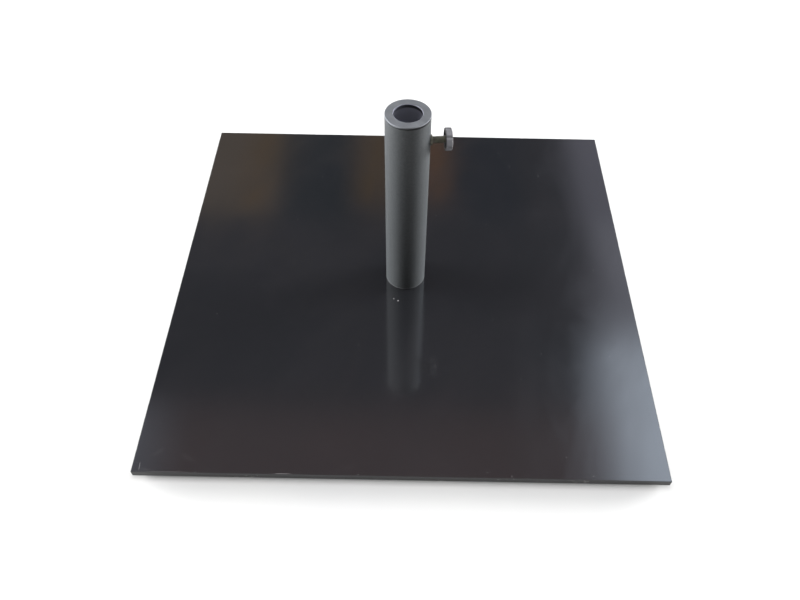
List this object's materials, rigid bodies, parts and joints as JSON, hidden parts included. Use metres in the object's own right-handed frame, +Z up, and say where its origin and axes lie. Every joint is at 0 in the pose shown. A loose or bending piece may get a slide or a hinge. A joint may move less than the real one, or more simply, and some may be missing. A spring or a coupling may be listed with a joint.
{
  "type": "parasol base",
  "caption": "Square flat steel parasol base with an upright tube, a plastic reducer sleeve in its mouth and a thumb screw that clamps the pole.",
  "frame": {"origin": "middle of the base on the ground, under the tube's axis", "axes": "+Z up along the tube, -Y the front, +X towards the thumb screw, which is turned 6 degrees from +X towards +Y"},
  "size_m": [0.7, 0.7, 0.3169],
  "materials": {
    "black_enamel": "gloss",
    "tube_coating": "satin",
    "raw_steel": "matte",
    "zinc_steel": "satin",
    "dark_zinc": "satin",
    "sleeve_plastic": "matte",
    "knob_plastic": "satin",
    "nylon": "matte",
    "foot_rubber": "matte"
  },
  "bodies": {
    "base": {"base_plate": "black_enamel", "foot_front_left": "foot_rubber", "foot_front_right": "foot_rubber", "foot_back_left": "foot_rubber", "foot_back_right": "foot_rubber", "stem_tube": "tube_coating", "stem_end_disc": "raw_steel", "base_screw_1": "zinc_steel", "base_screw_2": "zinc_steel", "base_screw_3": "zinc_steel", "lower_pole_guide": "sleeve_plastic", "screw_insert": "dark_zinc"},
    "sleeve": {"reducer_sleeve": "sleeve_plastic"},
    "screw_tip": {"thrust_pad": "nylon"},
    "thumb_screw": {"clamp_screw": "dark_zinc", "screw_knob": "knob_plastic"}
  },
  "joints": [
    {"name": "sleeve_lift", "type": "slide", "parent": "base", "child": "sleeve", "axis": [0, 0, 1], "range_m": [0, 0.115]},
    {"name": "screw_travel", "type": "slide", "parent": "base", "child": "screw_tip", "axis": [0.9945, 0.1045, 0], "range_m": [-0.01652, 0.00602]},
    {"name": "knob_turn", "type": "hinge", "parent": "screw_tip", "child": "thumb_screw", "pos_m": [0, 0, 0.2739], "axis": [0.9945, 0.1045, 0], "range_deg": [-3960, 1440]}
  ],
  "couplings": [
    {"joint": "screw_travel", "follows": "knob_turn", "m_per_rad": 0.00023873}
  ]
}
